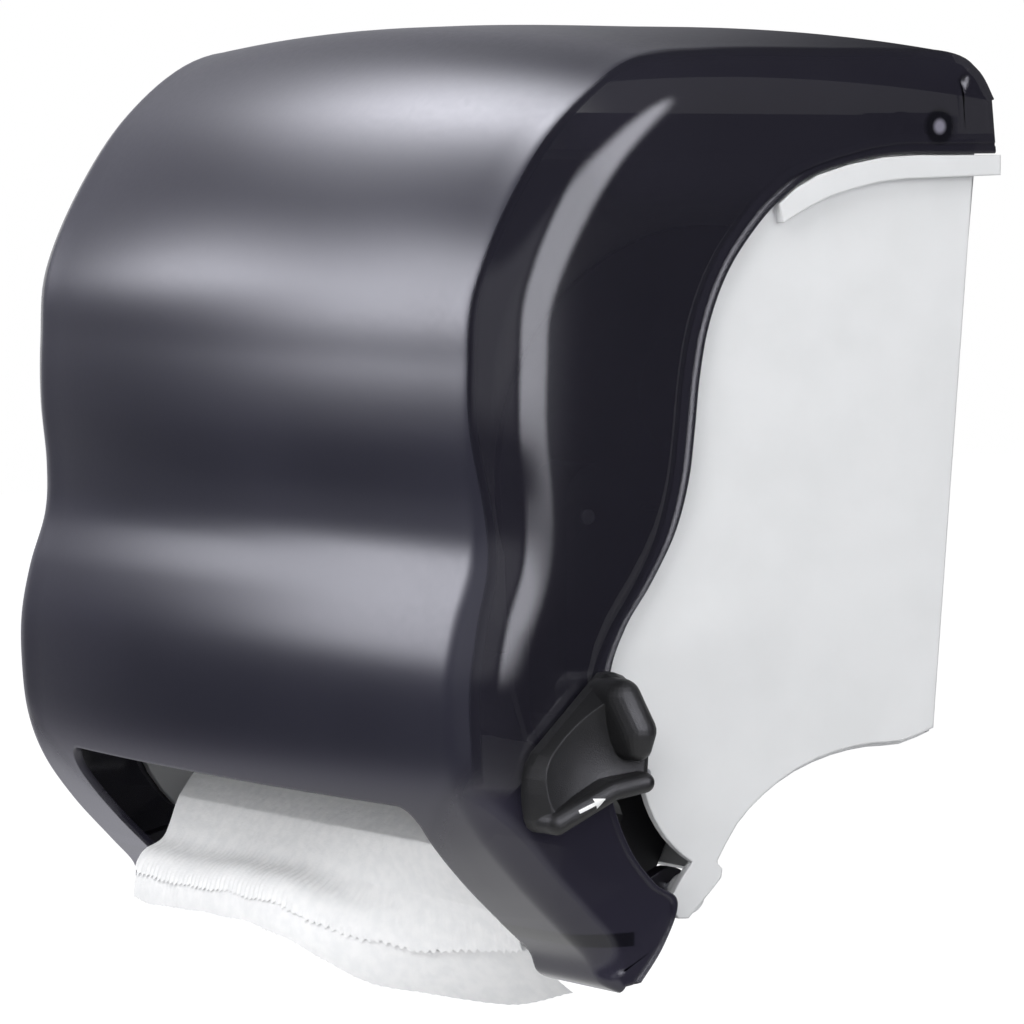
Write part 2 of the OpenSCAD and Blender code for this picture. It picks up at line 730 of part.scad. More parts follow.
module paddle_screws() {
    color("#9aa0a6") for (a = paddle_screw_a) {
        rod_x(at_lever((web_r0 + web_r1) / 2, a), paddle_screw_r, arm_in - eps, paddle_in + 9);
        rod_x(at_lever((web_r0 + web_r1) / 2, a), 2.8, arm_in - 1.6, arm_in);
    }
}

module return_spring() {
    color("#c0c4c8") ring_x(pivot, arm_hub_r + 0.4, arm_hub_r + 3, gear_x + gear_w + 1.2, case_out - case_wall - 0.2);
}

stop_r = 4;

module lever_stop() {
    color("#2a2a2c") rod_x(pivot + [-36, arm_half_w + stop_r + 0.3], stop_r, case_out, arm_in + arm_t);
}

// ---- roll holders ----

hub_flange_r = 26;
hub_guide_r = 8;
hub_nose = 12;
cup_r = 24;
cup_wall = 2;
cup_end = cheek_out + 29.5;
hub_travel = 12;

module hub_left() {
    color("#1c1c1f") mirror([1, 0, 0]) {
        rod_x(roll_axis, hub_guide_r, cheek_in - 1, cheek_out);
        rod_x(roll_axis, hub_flange_r, cheek_in - 1.9, cheek_in);
        rod_x(roll_axis, core_r - run_gap, cheek_in - 20, cheek_in - 1);
    }
}

module hub_right() {
    color("#1c1c1f") difference() {
        rod_x(roll_axis, core_r - run_gap, paper_w / 2 - hub_nose + 2, cheek_out + 12);
        rod_x(roll_axis, core_r - 4, paper_w / 2 - hub_nose + 5, cheek_out + 13);
    }
}

module spring_cup() {
    color("#1c1c1f") difference() {
        rod_x(roll_axis, cup_r, cheek_out, cup_end);
        rod_x(roll_axis, cup_r - cup_wall, cheek_out - 1, cup_end - cup_wall);
    }
}

module hub_spring() {
    color("#c0c4c8") ring_x(roll_axis, 9, 11.5, paper_w / 2 - hub_nose + 5.2, cup_end - cup_wall - 0.2);
}

// ---- latches ----

stud_flange = latch_in + 10;
stud_step = stud_flange + 8;

module latch_stud() {
    rod_x(latch_at, latch_r, latch_in - 4, stud_step);
    rod_x(latch_at, latch_r + 2.5, stud_flange, stud_flange + 2);
    rod_x(latch_at, 2.4, stud_step - eps, half_w - cover_wall - 0.3);
}

module latch_right() {
    color("#c9cbd0") latch_stud();
}

module latch_left() {
    color("#c9cbd0") mirror([1, 0, 0]) latch_stud();
}

module latch_springs() {
    color("#c0c4c8") both_sides()
        ring_x(latch_at, latch_r + 0.3, latch_r + 2, latch_in + latch_plate_t + 0.1, stud_flange - 0.1);
}

base_housing();
cover_shell();
hinge_pins();
cheek_left();
cheek_right();
tie_bar();
paper_chute();
tear_bar();
tear_bar_screws();
gear_case();
gear_case_screws();
chassis_screws();
feed_shaft();
feed_grips();
feed_pinion();
shaft_bushes();
pressure_roller();
pressure_springs();
pivot_pin();
lever_arm();
sector_gear();
lever_paddle();
paddle_screws();
return_spring();
lever_stop();
hub_left();
hub_right();
hub_spring();
spring_cup();
roll_core();
paper_roll();
towel_sheet();
latch_left();
latch_right();
latch_springs();
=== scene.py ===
import json
import math

import bmesh
import bpy
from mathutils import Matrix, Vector, noise
from mathutils.bvhtree import BVHTree


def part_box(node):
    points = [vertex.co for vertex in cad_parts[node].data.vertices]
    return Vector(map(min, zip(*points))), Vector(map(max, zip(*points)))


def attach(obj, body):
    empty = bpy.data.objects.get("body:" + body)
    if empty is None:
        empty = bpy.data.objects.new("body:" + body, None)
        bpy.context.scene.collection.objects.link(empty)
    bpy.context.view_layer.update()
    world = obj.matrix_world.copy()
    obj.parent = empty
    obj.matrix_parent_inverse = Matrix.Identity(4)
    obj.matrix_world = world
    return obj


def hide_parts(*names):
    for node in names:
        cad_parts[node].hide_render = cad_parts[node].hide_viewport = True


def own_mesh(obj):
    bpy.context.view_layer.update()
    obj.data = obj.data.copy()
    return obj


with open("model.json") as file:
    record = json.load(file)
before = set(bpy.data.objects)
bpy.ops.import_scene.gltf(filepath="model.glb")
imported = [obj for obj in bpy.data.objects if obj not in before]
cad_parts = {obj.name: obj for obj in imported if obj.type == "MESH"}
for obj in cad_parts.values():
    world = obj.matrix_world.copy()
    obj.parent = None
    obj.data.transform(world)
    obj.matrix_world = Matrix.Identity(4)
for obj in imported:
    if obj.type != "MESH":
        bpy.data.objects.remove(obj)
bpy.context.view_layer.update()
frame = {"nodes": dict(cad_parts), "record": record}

# Looks of the lever paper towel dispenser. Metres, in the CAD frame: X to the right as seen
# from the front, the room toward -Y, Z up, the wall at Y = 0. The tables of sizes and the side
# outlines, as [y, z], are in mm like the part's own.
MM = 0.001
scene = bpy.context.scene
NODES = frame["nodes"]

# ---------------------------------------------------------------- sizes
# The cover
HALF_W = 165.0
WALL = 3.0
CORNER_R = 22.0
CROWN_BULGE = 8.0
CROWN_Z = 150.0
UPPER = 210.0
WAIST = 206.5
LOWER = 218.5
LIP_Z = -107.0
LEG_TIP_Z = -169.0
MOUTH_HALF_W = 121.0
MOUTH_CORNER_R = 9.0
MOUTH_CUT_Y = (-0.30, -0.10)
HINGE = (-126.0, -138.0)
HINGE_EAR_R = 8.0

# The lever's pivot and the slot that its arm sweeps
PIVOT = (-105.0, -90.0)
SLOT_R = 57.5

# The roll
ROLL_AXIS = (-88.0, 30.0)
ROLL_R = 0.080
ROLL_BORE_R = 0.0206
ROLL_RIM_R = 0.004
ROLL_DISH = 0.0012

# The latch studs and the springs
# Centre of the painted highlight and the ring of painted shade over the latch stud, then the stud's axis
LATCH_SPOT = (-26.4, 122.5)
LATCH_AXIS = (-27, 121)
LATCH_SPRING_LONG = 5.8
RETURN_SPRING_HALF = 3.5


def around(radius, degrees):
    """A point on the lever slot's arc, as [y, z]."""
    a = math.radians(degrees)
    return (PIVOT[0] - radius * math.cos(a), PIVOT[1] - radius * math.sin(a))


# Outer [y, z], rear edge [y, z] and corner radius, from the wall over the crown to the legs, within
# 2 mm of the part's rows and set so that the highlights fall as they do on the real cover
COVER_ROWS = [
    (-2, CROWN_Z - 18, -2, 113, 2),
    (-6, CROWN_Z - 7, -9, 113, 9),
    (-16, CROWN_Z - 1, -22, 113, 17),
    (-60, CROWN_Z, -50, 112.5, CORNER_R),
    (-112, CROWN_Z, -78, 106.5, CORNER_R),
    (-144, CROWN_Z - 4, -94, 97, CORNER_R),
    (-172, CROWN_Z - 24, -107, 84, CORNER_R),
    (-193, CROWN_Z - 52, -116, 71, CORNER_R),
    (3 - UPPER, CROWN_Z - 82, -122.5, 55, CORNER_R),
    (0.6 - UPPER, CROWN_Z - 108, -126, 38, CORNER_R),
    (0.6 - UPPER, 19, -128, 20, CORNER_R),
    (-WAIST - 0.5, -4, -130.5, 3, CORNER_R),
    (-WAIST - 1.2, -22, -136, -14, CORNER_R),
    (-WAIST - 7.5, -41, -146, -31, CORNER_R),
    (0.6 - LOWER, -60, -156, -45, CORNER_R),
    (0.6 - LOWER, -79, -162.5, -62, CORNER_R),
    (4 - LOWER, -98, -163, -90, 20),
    (-206, -115, *around(SLOT_R, 16), 16),
    (-192, -132, *around(SLOT_R, 33), 13),
    (-176, -148, *around(SLOT_R, 48), 12),
    (-166, LEG_TIP_Z + 11, *around(SLOT_R, 59), 11),
    (-163, LEG_TIP_Z + 3.5, -140.5, -154, 7),
    (-157.5, LEG_TIP_Z, -149.5, LEG_TIP_Z + 3.2, 2.6),
]
ROW_STEPS = 8
CORNER_STEPS = 14
MID_STEPS = 12


def smooth_rows(points, steps):
    """Catmull-Rom line through tuples, the same rule as the part's own."""
    out = []
    last = len(points) - 1
    for i in range(last):
        p0, p1 = points[max(i - 1, 0)], points[i]
        p2, p3 = points[i + 1], points[min(i + 2, last)]
        for k in range(steps):
            t = k / steps
            out.append(tuple(
                0.5 * (2 * b + (c - a) * t + (2 * a - 5 * b + 4 * c - d) * t * t
                       + (3 * b - a - 3 * c + d) * t ** 3)
                for a, b, c, d in zip(p0, p1, p2, p3)))
    out.append(tuple(points[last]))
    return out


ROWS = smooth_rows(COVER_ROWS, ROW_STEPS)


def inward(i):
    """Square to the cover's outline at row i, toward the inside."""
    a, b = ROWS[max(i - 1, 0)], ROWS[min(i + 1, len(ROWS) - 1)]
    d = Vector((b[0] - a[0], b[1] - a[1])).normalized()
    return Vector((-d.y, d.x))


def outward(i):
    """Which way row i bulges between its corners: up on the crown, then to the room."""
    return Vector((0, 1)) if i <= 3 * ROW_STEPS else -inward(i)


def bulge(i):
    """How far row i's middle stands out past its corners, fading out over the leg tips."""
    return CROWN_BULGE * min(1.0, (len(ROWS) - 1 - i) / (5 * ROW_STEPS))


# ---------------------------------------------------------------- mesh helpers
def new_object(name, verts, faces, smooth=True, sharp=35.0):
    """A mesh object, with edges sharper than so many degrees kept sharp."""
    mesh = bpy.data.meshes.new(name)
    mesh.from_pydata([tuple(v) for v in verts], [], faces)
    mesh.validate()
    obj = bpy.data.objects.new(name, mesh)
    scene.collection.objects.link(obj)
    finish_normals(obj, smooth, sharp)
    return obj


def finish_normals(obj, smooth=True, sharp=35.0):
    """Faces all outward, shaded smooth or flat."""
    bm = bmesh.new()
    bm.from_mesh(obj.data)
    bmesh.ops.recalc_face_normals(bm, faces=bm.faces)
    bm.to_mesh(obj.data)
    bm.free()
    for polygon in obj.data.polygons:
        polygon.use_smooth = smooth
    if smooth:
        obj.data.set_sharp_from_angle(angle=math.radians(sharp))


def cut(obj, tool):
    """Takes the tool's volume out of the object, and the tool out of the scene."""
    modifier = obj.modifiers.new("cut", "BOOLEAN")
    modifier.operation = "DIFFERENCE"
    modifier.solver = "EXACT"
    modifier.object = tool
    graph = bpy.context.evaluated_depsgraph_get()
    mesh = bpy.data.meshes.new_from_object(obj.evaluated_get(graph))
    obj.modifiers.clear()
    obj.data = mesh
    bpy.data.objects.remove(tool, do_unlink=True)


def prism(name, outline, along, lo, hi):
    """A closed solid: the outline, drawn square to the axis "x" or "y", from lo to hi."""
    def place(p, h):
        return (h, p[0], p[1]) if along == "x" else (p[0], h, p[1])
    n = len(outline)
    verts = [place(p, lo) for p in outline] + [place(p, hi) for p in outline]
    faces = [tuple(range(n)), tuple(range(2 * n - 1, n - 1, -1))]
    faces += [(i, i + n, (i + 1) % n + n, (i + 1) % n) for i in range(n)]
    return new_object(name, verts, faces, smooth=False)


def rounded_box_outline(x0, x1, z0, z1, r, steps=8):
    points = []
    corners = [(x1 - r, z1 - r, 0), (x0 + r, z1 - r, 90),
               (x0 + r, z0 + r, 180), (x1 - r, z0 + r, 270)]
    for cx, cz, a0 in corners:
        for k in range(steps + 1):
            a = math.radians(a0 + 90 * k / steps)
            points.append((cx + r * math.cos(a), cz + r * math.sin(a)))
    return points


def sweep(name, path, radius, sides):
    """A round rod along a list of points."""
    path = [Vector(p) for p in path]
    verts, faces = [], []
    side = None
    for i, p in enumerate(path):
        d = (path[min(i + 1, len(path) - 1)] - path[max(i - 1, 0)]).normalized()
        if side is None:
            side = d.orthogonal().normalized()
        side = (side - side.dot(d) * d).normalized()
        up = d.cross(side)
        for k in range(sides):
            a = 2 * math.pi * k / sides
            verts.append(p + radius * (math.cos(a) * side + math.sin(a) * up))
    for i in range(len(path) - 1):
        for k in range(sides):
            a, b = i * sides + k, i * sides + (k + 1) % sides
            faces.append((a, b, b + sides, a + sides))
    faces.append(tuple(range(sides - 1, -1, -1)))
    faces.append(tuple(range(len(verts) - sides, len(verts))))
    return new_object(name, verts, faces)


def turned_ring(name, profile, centre, steps=160):
    """A ring round an X axis at [y, z]: the profile is closed, in [x, radius], in metres."""
    n = len(profile)
    verts, faces = [], []
    for k in range(steps):
        a = 2 * math.pi * k / steps
        for x, radius in profile:
            verts.append((x, centre[0] + radius * math.cos(a), centre[1] + radius * math.sin(a)))
    for k in range(steps):
        for j in range(n):
            a, b = k * n + j, k * n + (j + 1) % n
            c, d = (k + 1) % steps * n + (j + 1) % n, (k + 1) % steps * n + j
            faces.append((a, b, c, d))
    return new_object(name, verts, faces)


# ---------------------------------------------------------------- node helpers
class Nodes:
    """Builds one material's nodes."""

    def __init__(self, name):
        self.material = bpy.data.materials.new(name)
        self.material.use_nodes = True
        self.tree = self.material.node_tree
        self.tree.nodes.clear()
        self.out = self.add("ShaderNodeOutputMaterial")
        self.coord = self.add("ShaderNodeTexCoord").outputs["Object"]

    def add(self, kind, **settings):
        node = self.tree.nodes.new(kind)
        for key, value in settings.items():
            setattr(node, key, value)
        return node

    def link(self, a, b):
        self.tree.links.new(a, b)

    def put(self, value, socket):
        if isinstance(value, bpy.types.NodeSocket):
            self.link(value, socket)
        else:
            socket.default_value = value

    def math(self, operation, a, b=0.0):
        node = self.add("ShaderNodeMath", operation=operation)
        self.put(a, node.inputs[0])
        self.put(b, node.inputs[1])
        return node.outputs[0]

    def plus(self, a, b):
        return self.math("ADD", a, b)

    def minus(self, a, b):
        return self.math("SUBTRACT", a, b)

    def times(self, a, b):
        return self.math("MULTIPLY", a, b)

    def larger(self, a, b):
        return self.math("MAXIMUM", a, b)

    def reach(self, a, b):
        """How far [a, b] is from [0, 0]."""
        return self.math("SQRT", self.plus(self.times(a, a), self.times(b, b)))

    def ramp(self, value, lo, hi, to_lo=0.0, to_hi=1.0):
        """A soft step: to_lo where the value is below lo, to_hi where it is above hi."""
        node = self.add("ShaderNodeMapRange", interpolation_type="SMOOTHSTEP")
        self.put(value, node.inputs["Value"])
        for key, number in (("From Min", lo), ("From Max", hi), ("To Min", to_lo), ("To Max", to_hi)):
            self.put(number, node.inputs[key])
        return node.outputs["Result"]

    def noise(self, scale, detail=3.0, rough=0.5, stretch=None):
        node = self.add("ShaderNodeTexNoise")
        node.inputs["Scale"].default_value = scale
        node.inputs["Detail"].default_value = detail
        node.inputs["Roughness"].default_value = rough
        vector = self.coord
        if stretch:
            mapping = self.add("ShaderNodeMapping")
            mapping.inputs["Scale"].default_value = stretch
            self.link(self.coord, mapping.inputs["Vector"])
            vector = mapping.outputs["Vector"]
        self.link(vector, node.inputs["Vector"])
        return node.outputs["Fac"]

    def mix(self, factor, a, b):
        node = self.add("ShaderNodeMix", data_type="RGBA")
        self.put(factor, node.inputs["Factor"])
        self.put(a if isinstance(a, bpy.types.NodeSocket) else (*a, 1), node.inputs[6])
        self.put(b if isinstance(b, bpy.types.NodeSocket) else (*b, 1), node.inputs[7])
        return node.outputs[2]

    def bump(self, height, strength, distance, normal=None):
        node = self.add("ShaderNodeBump")
        node.inputs["Strength"].default_value = strength
        node.inputs["Distance"].default_value = distance
        self.link(height, node.inputs["Height"])
        if normal:
            self.link(normal, node.inputs["Normal"])
        return node.outputs["Normal"]

    def rounded(self, radius):
        node = self.add("ShaderNodeBevel", samples=4)
        node.inputs["Radius"].default_value = radius
        return node.outputs["Normal"]

    def shader(self, color, roughness, metallic=0.0, normal=None, alpha=1.0, **sockets):
        node = self.add("ShaderNodeBsdfPrincipled")
        self.put(color, node.inputs["Base Color"])
        self.put(roughness, node.inputs["Roughness"])
        self.put(metallic, node.inputs["Metallic"])
        self.put(alpha, node.inputs["Alpha"])
        if normal:
            self.link(normal, node.inputs["Normal"])
        for key, value in sockets.items():
            node.inputs[key.replace("_", " ")].default_value = value
        self.link(node.outputs["BSDF"], self.out.inputs["Surface"])
        return self.material

    def axis(self, which):
        """The object's own X, Y or Z, by number."""
        node = self.add("ShaderNodeSeparateXYZ")
        self.link(self.coord, node.inputs[0])
        return node.outputs[which]


def moulded(name, dark, light, rough, grain, grain_depth, edge=0.0004, specular=0.5):
    """Moulded plastic: a fine grain, faint cloudiness in the colour and softened edges."""
    n = Nodes(name)
    cloud = n.noise(28, 4)
    color = n.mix(n.ramp(cloud, 0.35, 0.65), dark, light)
    roughness = n.ramp(n.noise(90, 3), 0.3, 0.7, rough - 0.05, rough + 0.06)
    normal = n.bump(n.noise(grain, 2, 0.7), 0.6, grain_depth, n.rounded(edge))
    return n.shader(color, roughness, normal=normal, Specular_IOR_Level=specular)


def metal(name, dark, light, rough, stretch):
    """Plated steel: fine drawn lines and a cloudy zinc tone."""
    n = Nodes(name)
    lines = n.noise(900, 2, 0.6, stretch)
    color = n.mix(n.ramp(n.noise(160, 4), 0.35, 0.65), dark, light)
    roughness = n.ramp(lines, 0.3, 0.7, rough - 0.08, rough + 0.1)
    normal = n.bump(lines, 0.25, 0.00004, n.rounded(0.00025))
    return n.shader(color, roughness, metallic=1.0, normal=normal)


def paint(obj, material):
    obj.data.materials.clear()
    obj.data.materials.append(material)


# ---------------------------------------------------------------- materials
# Where the smoke's looks fade into each other, in metres. The frosted field ends at FROST_END_X,
# which changes with height, and slantwise above the legs.
FROST_END_Z, FROST_END_X = (-0.06, 0.05), (0.1582, 0.1492)
FROST_FADE = (-0.0006, 0.0022)
LEG_FADE, LEG_INNER_X, LEG_SLANT = (-0.150, -0.112), 0.122, -0.9
LOW_Z = (-0.104, -0.085)
CROWN_FADE_Z, CROWN_FADE_Y = (0.085, 0.112), (-0.185, -0.150)
LEG_BACK_Y = (-0.192, -0.180)
BAND_FOOT_Z, BAND_HEAD_Z, BAND_Y = (-0.1535, -0.1528), (-0.1487, -0.1480), (-0.1535, -0.1520)
FLANK_X = (0.158, 0.160)
# Radii over the latch stud: a ring of painted shade, and inside it a pale painted highlight
PAINTED_SHADE_RING_R, PAINTED_HIGHLIGHT_R = (0.0050, 0.0072), (0.0012, 0.0034)
# How dense the smoke is, for each of a wall's two faces
DENSITY = {"side": 0.62, "crown": 0.88, "leg": 0.92, "leg_back": 0.96, "front": 0.99,
           "shaded": 0.97, "rim": 0.94}


def smoke_material(name, lapping=False):
    """Smoked plastic: polished and see-through at the sides and corners, frosted on the front.

    It is denser over the crown, in the legs and, where lapping, along the rear rim."""
    n = Nodes(name)
    x, y, z = n.math("ABSOLUTE", n.axis(0)), n.axis(1), n.axis(2)
    frost = n.ramp(n.minus(n.ramp(z, *FROST_END_Z, *FROST_END_X), x), *FROST_FADE)
    leg = n.ramp(n.plus(z, n.times(n.minus(x, LEG_INNER_X), LEG_SLANT)), *LEG_FADE)
    frost = n.times(frost, leg)
    low = n.ramp(z, *LOW_Z, 1.0, 0.0)
    cloud = n.ramp(n.noise(9, 3), 0.3, 0.7)
    frosted = n.mix(cloud, (0.0150, 0.0148, 0.0245), (0.0190, 0.0186, 0.0300))
    clear = n.mix(cloud, (0.0170, 0.0160, 0.0240), (0.0210, 0.0200, 0.0290))
    color = n.mix(frost, clear, frosted)
    color = n.mix(n.times(low, 0.8), color, (0.027, 0.025, 0.040))
    roughness = n.plus(n.ramp(frost, 0, 1, 0.07, 0.30), n.ramp(n.noise(400, 3), 0.3, 0.7, -0.01, 0.015))
    crown = n.times(n.ramp(z, *CROWN_FADE_Z), n.ramp(y, *CROWN_FADE_Y))
    leg_back = n.times(low, n.ramp(y, *LEG_BACK_Y))
    alpha = n.ramp(crown, 0, 1, DENSITY["side"], DENSITY["crown"])
    for mask, place in ((low, "leg"), (leg_back, "leg_back"), (frost, "front")):
        alpha = n.larger(alpha, n.times(mask, DENSITY[place]))
    # The web inside each leg shows as a dark band; over the latch's stud sits a pale painted highlight in a
    # ring of painted shade
    band = n.times(n.ramp(z, *BAND_FOOT_Z), n.ramp(z, *BAND_HEAD_Z, 1.0, 0.0))
    band = n.times(band, n.ramp(y, *BAND_Y, 1.0, 0.0))
    reach = n.reach(n.minus(y, LATCH_SPOT[0] * MM), n.minus(z, LATCH_SPOT[1] * MM))
    flank = n.ramp(x, *FLANK_X)
    # A ring of painted shade round the latch stud, with a pale painted highlight inside it, on the side
    # walls only
    ring = n.times(n.ramp(reach, *PAINTED_SHADE_RING_R, 1.0, 0.0), flank)
    painted_latch_highlight = n.times(n.ramp(reach, *PAINTED_HIGHLIGHT_R, 1.0, 0.0), flank)
    shaded = n.larger(band, ring)
    # The web's dark band and the ring of painted shade get a near-black colour, then the painted highlight
    # gets its pale one
    color = n.mix(n.times(shaded, 0.8), color, (0.004, 0.004, 0.006))
    color = n.mix(n.times(painted_latch_highlight, 0.8), color, (0.30, 0.29, 0.36))
    alpha = n.larger(alpha, n.times(shaded, DENSITY["shaded"]))
    if lapping:
        alpha = n.larger(alpha, DENSITY["rim"])
    grain = n.times(n.noise(2600, 2, 0.7), frost)
    normal = n.bump(grain, 0.25, 0.00003, n.rounded(0.0018))
    return n.shader(color, roughness, normal=normal, alpha=alpha, Specular_IOR_Level=0.52)


def paper_material(name, emboss_scale, depth):
    """Soft creped paper: an embossed wave, fine fibres and a faint grey mottle."""
    n = Nodes(name)
    crepe = n.noise(1500, 3, 0.6, (0.35, 1, 1))
    cells = n.add("ShaderNodeTexVoronoi", feature="SMOOTH_F1")
    cells.inputs["Scale"].default_value = emboss_scale
    n.link(n.coord, cells.inputs["Vector"])
    height = n.plus(n.times(crepe, 0.45), cells.outputs["Distance"])
    color = n.mix(n.ramp(n.noise(220, 4), 0.3, 0.7), (0.86, 0.865, 0.875), (0.92, 0.92, 0.925))
    normal = n.bump(height, 0.55, depth)
    return n.shader(color, 0.92, normal=normal, Specular_IOR_Level=0.2, Sheen_Weight=0.2)


def roll_material():
    """The roll of towel: wound layers on the ends, crepe on the outside."""
    n = Nodes("paper_roll")
    y, z = n.minus(n.axis(1), ROLL_AXIS[0] * MM), n.minus(n.axis(2), ROLL_AXIS[1] * MM)
    radius = n.reach(y, z)
    wobble = n.times(n.noise(60, 3), 0.0012)
    layers = n.math("SINE", n.times(n.plus(radius, wobble), 9000.0))
    ends_only = n.ramp(radius, 0.0760, 0.0785, 1.0, 0.0)
    rings = n.times(n.ramp(layers, -1, 1), ends_only)
    color = n.mix(n.times(rings, 0.5), (0.84, 0.84, 0.83), (0.70, 0.695, 0.68))
    height = n.plus(rings, n.noise(900, 3))
    return n.shader(color, 0.9, normal=n.bump(height, 0.4, 0.0002), Specular_IOR_Level=0.2)


def board_material():
    """Brown board with fibres along the core."""
    n = Nodes("core_board")
    fibre = n.noise(500, 4, 0.6, (0.3, 1, 1))
    color = n.mix(n.ramp(fibre, 0.3, 0.7), (0.36, 0.25, 0.15), (0.50, 0.37, 0.24))
    return n.shader(color, 0.85, normal=n.bump(fibre, 0.4, 0.0001), Specular_IOR_Level=0.2)


def rubber_material():
    """Black rubber with a fine knurl."""
    n = Nodes("grip_rubber")
    knurl = n.noise(1400, 2, 0.6)
    color = n.mix(n.ramp(n.noise(120, 3), 0.3, 0.7), (0.022, 0.022, 0.023), (0.034, 0.034, 0.035))
    normal = n.bump(knurl, 0.6, 0.00012, n.rounded(0.0005))
    return n.shader(color, 0.8, normal=normal, Specular_IOR_Level=0.3)


# Moulded plastics: dark tone, light tone, roughness, scale and depth of grain, edge radius, gloss
WHITE = moulded("white_plastic", (0.80, 0.808, 0.815), (0.825, 0.832, 0.84), 0.34, 700, 0.00002, 0.0011)
BLACK = moulded("black_plastic", (0.014, 0.014, 0.016), (0.021, 0.021, 0.023), 0.5, 1600, 0.00008)
PADDLE = moulded("paddle_plastic", (0.006, 0.006, 0.0065), (0.010, 0.010, 0.0105), 0.46, 2300, 0.00022,
                 0.0009, 0.4)
ACETAL = moulded("gear_plastic", (0.62, 0.58, 0.47), (0.70, 0.66, 0.55), 0.4, 900, 0.00003)
STUD = moulded("stud_plastic", (0.66, 0.66, 0.70), (0.74, 0.74, 0.78), 0.3, 900, 0.00002)
EAR = moulded("cover_ears", (0.010, 0.009, 0.014), (0.016, 0.014, 0.022), 0.3, 900, 0.00002)
ARROW = moulded("arrow_print", (0.80, 0.80, 0.80), (0.86, 0.86, 0.86), 0.5, 900, 0.00001)
STEEL = metal("zinc_steel", (0.48, 0.49, 0.51), (0.64, 0.65, 0.67), 0.33, (1, 0.05, 0.05))
SPRING = metal("spring_steel", (0.34, 0.35, 0.37), (0.5, 0.51, 0.53), 0.28, (1, 1, 1))
RUBBER = rubber_material()
BOARD = board_material()
SMOKE = smoke_material("smoked_plastic")
SMOKE_RIM = smoke_material("smoked_rim", lapping=True)
PAPER = paper_material("towel_paper", 420, 0.00022)
ROLL = roll_material()

FINISH = {
    "white_plastic": WHITE,
    "smoked_plastic": SMOKE,
    "black_plastic": BLACK,
    "paddle_plastic": PADDLE,
    "steel": STEEL,
    "rubber": RUBBER,
    "gear_plastic": ACETAL,
    "cardboard": BOARD,
    "paper": PAPER,
}
SPECIAL = {
    SPRING: ("return_spring", "hub_spring", "latch_springs", "pressure_springs"),
    STUD: ("latch_left", "latch_right"),
}

for part in frame["record"]["subparts"]:
    paint(NODES[part["node"]], FINISH[part["material_slot"]])
for material, names in SPECIAL.items():
    for name in names:
        paint(NODES[name], material)


# ---------------------------------------------------------------- cover
# Steps of the side wall from its rear edge, a rounded edge and a groove: distance from the edge
# and depth below the side
EDGE_STEPS = [(0.0, 0.8), (0.35, 0.22), (0.9, 0.0), (2.4, 0.0),
              (2.8, 0.4), (3.5, 0.4), (3.9, 0.0), (7.0, 0.0)]


def half_section(i, depth, edged):
    """Row i of the cover's skin on the right, from the rear edge to the front's flat middle."""
    r = ROWS[i][4]
    rc = max(r - depth, 0.5)
    flat = HALF_W - r - (max(depth - r + 0.5, 0) if depth > 0 else 0)
    rim = Vector((ROWS[i][2], ROWS[i][3]))
    outer = Vector((ROWS[i][0], ROWS[i][1]))
    shift = inward(i)
    points = []
    side_end = outer + r * shift
    run = side_end - rim
    for distance, sink in EDGE_STEPS:
        at = rim + run * min(distance / max(run.length, 1e-6), 0.9)
        points.append((HALF_W - depth - (sink if edged else 0), at.x, at.y))
    for k in range(CORNER_STEPS, -1, -1):
        a = math.radians(90 * k / CORNER_STEPS)
        at = outer + (r - rc * math.cos(a)) * shift
        points.append((flat + rc * math.sin(a), at.x, at.y))
    for k in range(MID_STEPS - 1, -1, -1):
        q = k / MID_STEPS
        at = outer + (r - rc) * shift + bulge(i) * (1 - q * q) * outward(i)
        points.append((q * flat, at.x, at.y))
    return points


def cover_grid(depth, edged):
    """The whole skin at a depth below the outside, as rows of points from left to right."""
    rows = []
    for i in range(len(ROWS)):
        half = half_section(i, depth, edged)
        left = [(-x, y, z) for x, y, z in half[:-1]]
        rows.append(left + half[::-1])
    return rows


def on_rim(polygon, columns, skin_count):
    """Whether a face of the cover's grids, of skin_count points each, lies along the rear edge."""
    strip = len(EDGE_STEPS) - 1
    places = [v % skin_count % columns for v in polygon.vertices]
    return max(places) <= strip or min(places) >= columns - 1 - strip


def cover_body():
    """The cover's wall: an outer and an inner skin, joined along their edges."""
    outer = cover_grid(0, True)
    inner = cover_grid(WALL, False)
    m, n = len(outer[0]), len(outer)
    verts = [Vector(p) * MM for row in outer + inner for p in row]
    o = n * m
    faces = []
    for i in range(n - 1):
        for j in range(m - 1):
            a = i * m + j
            faces.append((a, a + 1, a + m + 1, a + m))
            faces.append((o + a, o + a + m, o + a + m + 1, o + a + 1))
    for j in range(m - 1):
        faces.append((j, o + j, o + j + 1, j + 1))
        a = (n - 1) * m + j
        faces.append((a, a + 1, o + a + 1, o + a))
    for i in range(n - 1):
        a = i * m
        faces.append((a, a + m, o + a + m, o + a))
        a += m - 1
        faces.append((a, o + a, o + a + m, a + m))
    body = new_object("cover_body", verts, faces)
    paint(body, SMOKE)
    body.data.materials.append(SMOKE_RIM)
    lap = HALF_W - WALL - 1.0
    for polygon in body.data.polygons:
        spans = [verts[v] / MM for v in polygon.vertices]
        if min(abs(v.x) for v in spans) >= lap and on_rim(polygon, m, o):
            polygon.material_index = 1
    return body


cover = cover_body()
mouth = rounded_box_outline(-MOUTH_HALF_W, MOUTH_HALF_W, LEG_TIP_Z - 30, LIP_Z, MOUTH_CORNER_R)
cut(cover, prism("mouth_tool", [(x * MM, z * MM) for x, z in mouth], "y", *MOUTH_CUT_Y))
finish_normals(cover)
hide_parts("cover_shell")
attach(cover, "cover")


